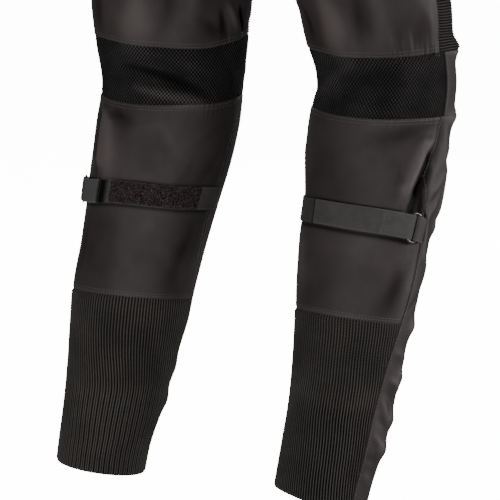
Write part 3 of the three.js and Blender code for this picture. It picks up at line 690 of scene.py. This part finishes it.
def webbingLooks():
    cloth = Shader("strapWebbing", 0.72, 0.2)
    u, v = cloth.uv()
    zig = cloth.maths("ABSOLUTE", cloth.maths("SUBTRACT", cloth.wave(v, 0.006), 0.5))
    twill = cloth.wave(cloth.maths("ADD", cloth.times(zig, 0.0022), u), 0.0014)
    ribs = cloth.wave(v, 0.0015)
    weave = cloth.maths("ADD", cloth.times(twill, 0.6), cloth.times(ribs, 0.4))
    base = cloth.blend(weave, (0.0065, 0.0062, 0.0056), (0.029, 0.0276, 0.025))
    # lighter long edges: the light binding line, with a painted highlight on the rounded edges
    base = cloth.tint(base, "edge", 0.3, (0.06, 0.058, 0.054))
    base = cloth.blend(cloth.times(cloth.noise(110, 5.0), 0.55), base, (0.047, 0.0445, 0.041))
    # painted shadow under the folded strap's end and beside the grip, with less shine there
    base = cloth.blend(cloth.mark("shade"), base, (0.001, 0.001, 0.001))
    cloth.dull("shade", 0.2)
    return cloth.finish(base, weave, 0.6, 0.0006, (0.02, 0.4, (0.8, 0.8, 0.74)))


def pileLooks():
    cloth = Shader("loopPile", 0.9, 0.05)
    tufts = cloth.scaled(cloth.noise(780), 3.4, -1.35)
    base = cloth.blend(tufts, (0.0012, 0.0007, 0.0008), (0.06, 0.0455, 0.0475))
    return cloth.finish(base, cloth.noise(900, 4.0), 0.7, 0.0007, (0.01, 0.5, (0.6, 0.52, 0.53)))


def threadLooks():
    cloth = Shader("sewingThread", 0.55, 0.3)
    base = cloth.blend(cloth.noise(260), (0.03, 0.0275, 0.0262), (0.062, 0.058, 0.055))
    return cloth.finish(base, cloth.noise(1800), 0.4, 0.0002)


def wireLooks():
    wire = Shader("coatedWire", 0.32, 0.5)
    wire.set("Metallic", 0.85)
    wire.set("Roughness", wire.scaled(wire.noise(400), 0.3, 0.18))
    base = wire.blend(wire.noise(180), (0.05, 0.05, 0.053), (0.16, 0.16, 0.165))
    return wire.finish(base, wire.noise(700), 0.15, 0.0002)


def gripLooks():
    grip = Shader("mouldedGrip", 0.55, 0.35)
    base = grip.blend(grip.noise(120), (0.026, 0.0256, 0.0252), (0.037, 0.0365, 0.036))
    # painted highlight on the grip's rounded edges
    base = grip.tint(base, "edge", 0.4, (0.08, 0.078, 0.075))
    return grip.finish(base, grip.noise(1500), 0.3, 0.0002)


# One material for each slot, and one for the sewing
looks = {
    "woven": wovenLooks(),
    "knit": knitLooks(),
    "rib_knit": ribLooks("ribbedCuff", (0.062, 0.056, 0.0515), True, 2.8),
    "stretch": ribLooks("ribbedStretch", (0.05, 0.0455, 0.0435), False, 5.5),
    "webbing": webbingLooks(),
    "loop": pileLooks(),
    "thread": threadLooks(),
    "metal": wireLooks(),
    "moulded": gripLooks(),
}
print("materials ready")


def ribProfile(phase, fade):
    # rounded ribs with narrow grooves, every second groove shallower by fade
    nearest = np.round(phase)
    d = np.abs(phase - nearest) * 2
    depth = np.where(nearest % 2 == 0, 1, fade)
    return 1 - depth * (1 - d) ** 2.2


def cuffRelief(side):
    z0, left = coarseBelow[side]

    def relief(u, t, w, z):
        wide = (along(calfInner, z) - along(calfOuter, z)) / wPerMm * 0.93
        pitch = wide / cuffRibs
        uneven = 0.12 * np.sin(z / 17 + 9 * u) + 0.1 * np.sin(z / 41 - 14 * u)
        phase = u * cuffRibs + along(ribDrift[side], z) / pitch + uneven
        slant = bySide(side, -16, 10) * u
        lower = smooth((z0 + slant + 14 - z) / bySide(side, 28, 12))
        ribs = ribProfile(phase, mix(1, left, lower))
        ridge = 1 - (1 - ribs) * mix(*grooveDepth[side], lower)
        return 1.25 * ridge - 0.15, ridge

    return relief


def accordionRelief(u, t, w, z):
    phase = t * accordionRibs + 0.12 * np.sin(9 * w) + 0.1 * np.sin(23 * w + 11 * t)
    ridge = ribProfile(phase, 1)
    return 1.3 * ridge - 0.2, ridge


for side in ("left", "right"):
    outer, inner, calfOut, calfIn, kneeHigh, kneeLow, cuffTop, hemLine = seamLines(side)
    innerFront = curve(innerSeam, -2)
    frontEdge = lambda z: np.where(z > crotchZ, 0, along(innerSeam, z) - 2)

    thighFront = {
        "slot": "woven", "nodes": ["thigh_front_" + side],
        "edges": (frontEdge, outer, -waistHalf, ribbedTop),
        "past": {"top": 2},
        "step": 3.4,
        "flat": (0.297, 0.457), "area": 0.094,
        "held": "hung", "on": ["waistband"],
    }
    clothPanel("thighFront_" + side, side, thighFront)

    seat = {
        "slot": "woven", "nodes": ["seat_" + side],
        "edges": (outer, 2, -waistHalf, crotchZ),
        "past": {"top": 2, "from": 2},
        "step": 3.4,
        "flat": (0.295, 0.359), "area": 0.066,
        "held": "hung", "on": ["waistband"],
    }
    clothPanel("seatCloth_" + side, side, seat)

    thighBack = {
        "slot": "woven", "nodes": ["thigh_back_" + side],
        "edges": (outer, inner, crotchZ, kneeHigh),
        "past": {"top": 2},
        "step": 2.0,
        "flat": (0.296, 0.263), "area": 0.063,
        "held": "hung", "on": ["seat_" + side],
    }
    clothPanel("thighBack_" + side, side, thighBack)

    accordion = {
        "slot": "stretch", "nodes": ["accordion_" + side],
        "edges": (innerFront, outer, ribbedTop, kneeHigh),
        "past": {"top": 2, "bottom": 2, "from": 1, "to": 2},
        "cols": 70, "rows": accordionRibs * 6, "inside": 4,
        "relief": accordionRelief,
        "flat": bySide(side, (0.235, 0.09), (0.232, 0.094)), "area": bySide(side, 0.0195, 0.02),
        "held": "stretched", "on": ["thighFront_" + side],
    }
    clothPanel("kneeRibs_" + side, side, accordion)

    kneeFront = {
        "slot": "woven", "nodes": ["knee_front_" + side],
        "edges": (innerFront, kneeOuter, kneeHigh, kneeLow),
        "step": 2.0,
        "flat": bySide(side, (0.221, 0.067), (0.211, 0.067)), "area": bySide(side, 0.0137, 0.0131),
        "held": "hung", "on": ["accordion_" + side],
    }
    clothPanel("kneeFront_" + side, side, kneeFront)

    knitBack = {
        "slot": "knit", "nodes": ["knit_back_" + side],
        "edges": (kneeOuter, inner, kneeHigh, kneeLow),
        "past": {"top": 2, "bottom": 2, "from": 2, "to": 2},
        "step": 1.8,
        "lift": -0.2,
        "flat": bySide(side, (0.24, 0.07), (0.238, 0.07)), "area": bySide(side, 0.0158, 0.0155),
        "held": "stretched", "on": ["thighBack_" + side],
    }
    clothPanel("knitBack_" + side, side, knitBack)

    calfBack = {
        "slot": "woven", "nodes": ["calf_back_" + side],
        "edges": (calfOut, calfIn, kneeLow, cuffTop),
        "step": 1.6,
        "flat": bySide(side, (0.237, 0.235), (0.238, 0.228)), "area": bySide(side, 0.0411, 0.0401),
        "held": "hung", "on": ["knitBack_" + side],
    }
    clothPanel("calfBack_" + side, side, calfBack)

    shinFront = {
        "slot": "woven", "nodes": ["shin_front_" + side],
        "edges": (curve(calfInner, -2), calfOut, kneeLow, hemLine),
        "past": {"from": 1, "to": 1},
        "step": 2.2,
        "flat": bySide(side, (0.25, 0.433), (0.243, 0.441)), "area": 0.0795,
        "held": "hung", "on": ["kneeFront_" + side],
    }
    clothPanel("shinFront_" + side, side, shinFront)

    cuff = {
        "slot": "rib_knit", "nodes": ["cuff_" + side],
        "edges": (calfOut, calfIn, cuffTop, hemLine),
        "past": {"top": 2, "from": 0.5, "to": 0.5},
        "cols": cuffRibs * 6, "rows": 66, "inside": 3,
        "relief": cuffRelief(side),
        "flat": bySide(side, (0.172, 0.193), (0.168, 0.2)), "area": bySide(side, 0.03, 0.0295),
        "held": "stretched", "on": ["calfBack_" + side],
    }
    clothPanel("ribbedCuff_" + side, side, cuff)
print("leg panels made")

waistband = {
    "slot": "woven", "nodes": ["waistband"],
    "edges": (0, 4, waistHalf, -waistHalf),
    "cols": 300, "rows": 20,
    "thick": 2.2,
    "flat": (0.855, 0.04),
    "held": "stretched",
}
clothPanel("waistCloth", "both", waistband)

flyFlap = {
    "slot": "woven", "nodes": ["fly_flap"],
    "edges": (-0.03, lambda z: mix(0.16, 0.02, smooth((-130 - z) / 65)), -waistHalf, -196),
    "cols": 24, "rows": 90,
    "lift": bandLift,
    "flat": (0.053, 0.181), "area": 0.0073,
    "held": "hung", "on": ["waistband"],
}
clothPanel("flyFlap", "both", flyFlap)

waistTab = {
    "slot": "woven", "nodes": ["waist_tab"],
    "edges": (-0.17, 0.14, 17, -17),
    "cols": 40, "rows": 20,
    "lift": bandLift,
    "flat": (0.074, 0.034),
    "held": "laid", "on": ["waistband"],
}
clothPanel("waistTab", "both", waistTab)
print("waist made")


def run(w0, w1, h0, h1, count):
    t = np.linspace(0, 1, count + 1)
    return np.stack([mix(w0, w1, t), mix(h0, h1, smooth(t))], 1)


def turnRound(barW, sign):
    # half a turn round one bar of the ring
    t = np.linspace(0, 1, 17)
    w = barW + sign * np.sin(np.pi * t) * turnRadius * wPerMm
    return np.stack([w, barHeight - np.cos(np.pi * t) * turnRadius], 1)


def webbing(name, side, path, shape):
    # a strip with rounded edges along a path of w and height over the leg
    wide, thick = shape.get("wide", strapWide), shape.get("thick", strapThick)
    n = np.arange(len(path))
    before, after = path[np.maximum(n - 1, 0)], path[np.minimum(n + 1, len(path) - 1)]
    ahead, rise = (after[:, 0] - before[:, 0]) / wPerMm, after[:, 1] - before[:, 1]
    long = np.hypot(ahead, rise)
    ew, eh = -rise / long * wPerMm, ahead / long
    lengths = np.cumsum(np.hypot(np.gradient(path[:, 0]) / wPerMm, np.gradient(path[:, 1])))
    across = np.linspace(-0.5, 0.5, 15)
    middle = along(strapLine[side], path[:, 0])

    def grid(k, slim):
        edge = 1 - np.abs(2 * across) ** 14 * slim
        w = path[:, :1] + k * ew[:, None] * edge
        h = path[:, 1:] + k * eh[:, None] * edge
        return place(side, w, middle[:, None] + across * wide, h, True)

    outer, inner = grid(thick / 2, 0.7), grid(-thick / 2, 0.2)
    uv = np.stack(np.broadcast_arrays(lengths[:, None], across * wide), -1)
    # closeness to the long edges, for a lighter edge line with a painted highlight on the rounded edge
    edge = np.exp(-((0.5 - np.abs(across)) * wide) / 0.7)
    # painted shadow where the folded strap lies over it: from w, tone, how much darker, for how far, fade
    end, tone, dark, full, fade = shape.get("below", (9, 0, 0, 1, 1))
    covered = (path[:, 0] > end) & (path[:, 1] < lowStrap + 0.5)
    near = 1 - smooth(((path[:, 0] - end) / wPerMm - full) / fade)
    shade = np.where(covered, tone + dark * near, 0)
    marks = {
        "edge": np.broadcast_to(edge, outer.shape[:2]),
        "shade": np.broadcast_to(shade[:, None], outer.shape[:2]),
    }
    register(shell(name, outer, inner, uv, uv, marks, looks[shape["slot"]]), shape)


lowStrap = strapLift + strapThick / 2
barHeight = lowStrap + turnRadius
loopHeight = lowStrap + strapThick / 2 + 0.9
gripHeight = strapLift + strapThick * 2 + 1.9
strapBar = ringW + ringBars / 2 * wPerMm
tabBar = ringW - ringBars / 2 * wPerMm
for side in ("left", "right"):
    high = lowStrap + strapThick + 0.5 + bySide(side, 0, 1.5)
    path = np.concatenate(
        [
            run(2.045, strapBar + 0.01, lowStrap, lowStrap, 90),
            turnRound(strapBar, -1),
            run(strapBar + 0.01, strapBar + 0.06, barHeight + turnRadius, high, 10),
            run(strapBar + 0.07, strapEnd[side], high, high, bySide(side, 30, 60)),
        ]
    )
    strap = {
        "slot": "webbing", "nodes": ["strap_" + side],
        "below": bySide(side, (1.37, 0, 0.97, 5, 8), (1.672, 0.3, 0.68, 2.5, 2)),
        "flat": bySide(side, (0.024, 0.242), (0.024, 0.311)),
        "held": "folded", "on": ["calfBack_" + side, "ring_" + side],
    }
    webbing("calfStrap_" + side, side, path, strap)

    field = {
        "slot": "loop", "nodes": ["loop_field_" + side],
        "wide": 23, "thick": 1.2,
        "flat": bySide(side, (0.023, 0.1), (0.023, 0.08)),
        "held": "laid", "on": ["strap_" + side],
    }
    webbing("loopField_" + side, side, run(*loopField[side], loopHeight, loopHeight, 60), field)

    path = np.concatenate(
        [
            run(tabStart, tabBar - 0.004, lowStrap, lowStrap, 6),
            turnRound(tabBar, 1),
            run(tabBar - 0.006, tabStart, barHeight + turnRadius, lowStrap + 1.9, 12),
        ]
    )
    tab = {
        "slot": "webbing", "nodes": ["ring_tab_" + side],
        "flat": (0.024, 0.03),
        "held": "folded", "on": ["calfBack_" + side, "ring_" + side],
    }
    webbing("ringTab_" + side, side, path, tab)

grip = {"slot": "moulded", "nodes": ["strap_grip_left"], "wide": 25, "thick": 2.2}
webbing("strapGrip", "left", run(1.245, 1.37, gripHeight, gripHeight, 24), grip)
print("straps made")


def wireRing(side):
    # a bent wire with rounded corners, flat over the strap's middle line
    def spot(w, z, out):
        return place(side, w, z, out, True)

    z = along(strapLine[side], ringW)
    middle = spot(ringW, z, barHeight)
    up = spot(ringW, z + 9, barHeight) - spot(ringW, z - 9, barHeight)
    up /= np.linalg.norm(up)
    across = spot(ringW + 0.02, z, barHeight) - middle
    across -= up * np.dot(across, up)
    across /= np.linalg.norm(across)
    out = np.cross(across, up)
    if np.dot(out, spot(ringW, z, barHeight + 5) - middle) < 0:
        out = -out
    corner, steps, sides = 2.5, 8, 16
    loop = []
    for sx, sy, start in ((1, 1, 0), (-1, 1, 0.5), (-1, -1, 1), (1, -1, 1.5)):
        for n in range(steps + 1):
            a = math.pi * (start + n / (2 * steps))
            px = sx * (ringBars / 2 - corner) + corner * math.cos(a)
            loop.append((px, sy * (ringLong / 2 - corner) + corner * math.sin(a)))
    loop = np.array(loop)
    step = np.roll(loop, -1, 0) - np.roll(loop, 1, 0)
    step /= np.linalg.norm(step, axis=1, keepdims=True)
    b = np.linspace(0, 2 * np.pi, sides, endpoint=False)
    flat = wireRadius * np.cos(b)
    px = loop[:, :1] + step[:, 1:] * flat
    py = loop[:, 1:] - step[:, :1] * flat
    points = middle + px[..., None] * across + py[..., None] * up
    points = points + (wireRadius * np.sin(b))[:, None] * out
    faces = quads(np.pad(numbered(points), ((0, 1), (0, 1)), "wrap"))
    points = points.reshape(-1, 3)
    return newPiece("wireRing_" + side, points, faces, points[:, :2] * 0, {}, looks["metal"])


for side in ("left", "right"):
    ring = {"slot": "metal", "nodes": ["ring_" + side]}
    register(wireRing(side), ring)
print("rings made")


def nodeGroup(name, sockets):
    # an empty group with its sockets, and the calls that fill it
    group = bpy.data.node_groups.new(name, "GeometryNodeTree")
    names = {}
    for key, kind in {"Geometry": "Geometry", **sockets}.items():
        made = group.interface.new_socket(key, in_out="INPUT", socket_type="NodeSocket" + kind)
        names[key] = made.identifier
    group.interface.new_socket("Geometry", in_out="OUTPUT", socket_type="NodeSocketGeometry")

    def add(kind, values={}):
        made = group.nodes.new(kind)
        for socket, value in values.items():
            made.inputs[socket].default_value = value
        return made

    def link(source, output, target, socket):
        group.links.new(source.outputs[output], target.inputs[socket])

    def chain(*nodes):
        for source, target in zip(nodes, nodes[1:]):
            link(source, 0, target, 0)

    return group, names, add, link, chain


def stitchGroup():
    # a small grain of thread at even steps along each edge line
    sockets = {"Pitch": "Float", "Grain": "Vector", "Thread": "Material"}
    group, names, add, link, chain = nodeGroup("stitchRow", sockets)
    start, end = add("NodeGroupInput"), add("NodeGroupOutput")
    curve = add("GeometryNodeMeshToCurve")
    points = add("GeometryNodeCurveToPoints")
    points.mode = "LENGTH"
    ball = add("GeometryNodeMeshUVSphere", {"Segments": 6, "Rings": 5, "Radius": 0.5})
    copies = add("GeometryNodeInstanceOnPoints")
    real = add("GeometryNodeRealizeInstances")
    paint = add("GeometryNodeSetMaterial")
    soft = add("GeometryNodeSetShadeSmooth")
    chain(start, curve, points, copies, real, soft, paint, end)
    link(start, "Pitch", points, "Length")
    link(ball, "Mesh", copies, "Instance")
    link(points, "Rotation", copies, "Rotation")
    link(start, "Grain", copies, "Scale")
    link(start, "Thread", paint, "Material")
    return group, names


def pileGroup():
    # small loops of yarn, turned at random, all over a face
    sockets = {"Density": "Float", "Yarn": "Material"}
    group, names, add, link, chain = nodeGroup("loopPile", sockets)
    start, end = add("NodeGroupInput"), add("NodeGroupOutput")
    spread = add("GeometryNodeDistributePointsOnFaces", {"Seed": 7})
    ring = add("GeometryNodeCurvePrimitiveCircle", {"Resolution": 7, "Radius": 0.00075})
    thin = add("GeometryNodeCurvePrimitiveCircle", {"Resolution": 3, "Radius": 0.0001})
    yarn = add("GeometryNodeCurveToMesh")
    turn = add("FunctionNodeRandomValue")
    turn.data_type = "FLOAT_VECTOR"
    turn.inputs["Min"].default_value = (0.9, -0.5, 0)
    turn.inputs["Max"].default_value = (2.2, 0.5, 6.28)
    turn.inputs["Seed"].default_value = 3
    size = add("FunctionNodeRandomValue", {2: 0.6, 3: 1.35})
    copies = add("GeometryNodeInstanceOnPoints")
    real = add("GeometryNodeRealizeInstances")
    paint = add("GeometryNodeSetMaterial")
    chain(start, spread, copies, real, paint, end)
    chain(ring, yarn)
    link(start, "Density", spread, "Density")
    link(thin, "Curve", yarn, "Profile Curve")
    link(yarn, "Mesh", copies, "Instance")
    link(turn, 0, copies, "Rotation")
    link(size, 1, copies, "Scale")
    link(start, "Yarn", paint, "Material")
    return group, names


def grow(host, group, values, name, slot):
    # runs a node group on a host mesh and keeps only the result as a plain mesh piece
    nodes, names = group
    modifier = host.modifiers.new("grow", "NODES")
    modifier.node_group = nodes
    for key, value in values.items():
        modifier[names[key]] = value
    host.update_tag()
    scene = bpy.context.evaluated_depsgraph_get()
    mesh = bpy.data.meshes.new_from_object(host.evaluated_get(scene))
    mesh.name = name
    bpy.data.objects.remove(host)
    register(newObject(name, mesh), {"slot": slot})
    print(name, len(mesh.polygons), "faces")


def lineHost(name, lines):
    points, edges = [], []
    for line in lines:
        first = len(points)
        points += (np.asarray(line) / 1000).tolist()
        edges += [(first + n, first + n + 1) for n in range(len(line) - 1)]
    mesh = bpy.data.meshes.new(name)
    mesh.from_pydata(points, edges, [])
    return newObject(name, mesh)


def levelRow(side, seam, w0, w1, away):
    w = np.linspace(w0, w1, 120)
    return place(side, w, seam(w) + away, threadLift)


def uprightRow(side, seam, z0, z1, away):
    z = np.linspace(z0, z1, max(20, int(abs(z1 - z0) / 2.5)))
    return place(side, seam(z) + away * wPerMm, z, threadLift)


stitches = stitchGroup()
topstitch = {"Pitch": stitchPitch, "Grain": (0.00055, 0.00055, 0.0027), "Thread": looks["thread"]}
for side in ("left", "right"):
    outer, inner, calfOut, calfIn, kneeHigh, kneeLow, cuffTop, hemLine = seamLines(side)
    rows = []
    for away in (2.2, 5.4):
        rows.append(levelRow(side, kneeHigh, 1.11, 2.15, away))
        rows.append(uprightRow(side, outer, -30, -490, away))
    for away in (-2.2, -5.4):
        rows.append(levelRow(side, kneeLow, 1.09, 2.06, away))
        rows.append(uprightRow(side, outer, -30, -398, away))
    rows += [
        levelRow(side, cuffTop, 1.115, 2.175, 2.4),
        levelRow(side, cuffTop, 1.115, 2.175, 4.6),
        levelRow(side, level(ribbedTop), 0.14, 1.07, 2.2),
        levelRow(side, kneeHigh, 0.18, 1.04, -2.4),
        levelRow(side, kneeLow, 0.18, 1.04, 2.4),
        levelRow(side, kneeLow, 0.12, 1.05, -2.4),
        levelRow(side, level(crotchZ), 1.04, 1.97, 2.2),
        uprightRow(side, calfOut, bySide(side, -554, -655), -749, 2.2),
        uprightRow(side, calfIn, -556, -748, -2.2),
        uprightRow(side, calfOut, -554, -935, -2.6),
        uprightRow(side, calfIn, -556, -935, 2.6),
        uprightRow(side, level(kneeOuter), -494, -549, -2.2),
        uprightRow(side, level(0), -24, -262, 2.4),
        uprightRow(side, level(2), -24, -262, -2.4),
        levelRow(side, hemLine, 0.2, 1.1, 3.0),
    ]
    grow(lineHost("rows_" + side, rows), stitches, topstitch, "topstitch_" + side, "woven")

rows = []
w = np.linspace(0.02, 3.98, 420)
for away in (17, -17):
    rows.append(place("both", w, 0 * w + away, threadLift))
z = np.linspace(-24, -150, 60)
for away in (3, 32):
    rows.append(place("both", 0 * z + 0.16 - away * wPerMm * 0.7, z, bandLift + threadLift))
w = np.linspace(-0.16, 0.13, 40)
for away in (14.5, -14.5):
    rows.append(place("both", w, 0 * w + away, bandLift + threadLift))
grow(lineHost("rows_waist", rows), stitches, topstitch, "topstitch_waist", "woven")

# Bar tacks and box stitches that hold the strap, its tab and the loop field
rows = []
for side in ("left", "right"):
    line = strapLine[side]
    ends = [(1.102, lowStrap + 2.75), (2.03, lowStrap + 0.85)]
    if side == "right":
        ends.append((1.325, lowStrap + 4.45))
    for w0, out in ends:
        for n in range(3):
            t = np.linspace(-10.5, 10.5, 12)
            at = w0 + (n - 1) * 1.1 * wPerMm
            rows.append(place(side, at + 0 * t, along(line, at) + t, out, True))
w = np.linspace(*loopField["left"], 60)
for away in (10.6, -10.6):
    rows.append(place("left", w, along(strapLine["left"], w) + away, lowStrap + 2.35, True))
tacking = {"Pitch": 0.0016, "Grain": (0.0005, 0.0005, 0.0014), "Thread": looks["thread"]}
grow(lineHost("rows_strap", rows), stitches, tacking, "tackStitch", "webbing")
print("sewing made")

pile = pileGroup()
for side, density in pileDensity.items():
    path = run(*loopField[side], 0, 0, 40)
    z = along(strapLine[side], path[:, 0])[:, None] + np.linspace(-11.3, 11.3, 9)
    points = place(side, path[:, :1], z, loopHeight + 0.6, True)
    mesh = bpy.data.meshes.new("pileHost")
    faces = quads(numbered(points)).tolist()
    mesh.from_pydata((points.reshape(-1, 3) / 1000).tolist(), [], faces)
    host = newObject("pileHost", mesh)
    values = {"Density": density * 1, "Yarn": looks["loop"]}
    grow(host, pile, values, "pile_" + side, "loop")
print("pile made")

floorMesh = bpy.data.meshes.new("floor")
corners = [(x * floorReach, y * floorReach, floorZ) for x, y in ((-1, -1), (1, -1), (1, 1), (-1, 1))]
floorMesh.from_pydata(corners, [], [(0, 1, 2, 3)])
floor = newObject("floor", floorMesh)
pale = Shader("paleFloor", 0.9)
pale.set("Base Color", (0.82, 0.82, 0.82))
pale.set("Emission Color", (1, 1, 1))
pale.set("Emission Strength", 14)
floorMesh.materials.append(pale.material)
floor.visible_diffuse = floor.visible_glossy = False  # the white ground does not light the cloth

world = bpy.data.worlds.new("studio")
world.use_nodes = True
background = world.node_tree.nodes["Background"].inputs
background["Color"].default_value = (1, 1, 1, 1)
background["Strength"].default_value = 0.2
bpy.context.scene.world = world


def station(name, data, azimuth, elevation, distance):
    # a camera or a lamp that looks at the middle of the legs
    a, e = math.radians(azimuth), math.radians(elevation)
    away = Vector((math.sin(a) * math.cos(e), -math.cos(a) * math.cos(e), math.sin(e)))
    made = newObject(name, data)
    made.location = Vector(legsMiddle) + away * distance
    made.rotation_mode = "QUATERNION"
    made.rotation_quaternion = (-away).to_track_quat("-Z", "Y")
    return made


lens = bpy.data.cameras.new("camera")
lens.sensor_width = 36
lens.lens = 152.9
bpy.context.scene.camera = station("camera", lens, *photoView)


def softLight(name, size, watts, *where):
    light = bpy.data.lights.new(name, "AREA")
    light.size = size
    light.energy = watts
    station(name, light, *where)


softLight("keyLight", 0.5, 98, 190, 0.5, 2.6)
softLight("sideLight", 0.5, 95, 290, 12, 2.6)
softLight("frontLight", 1.4, 75, 20, 35, 2.8)
print("stage made")
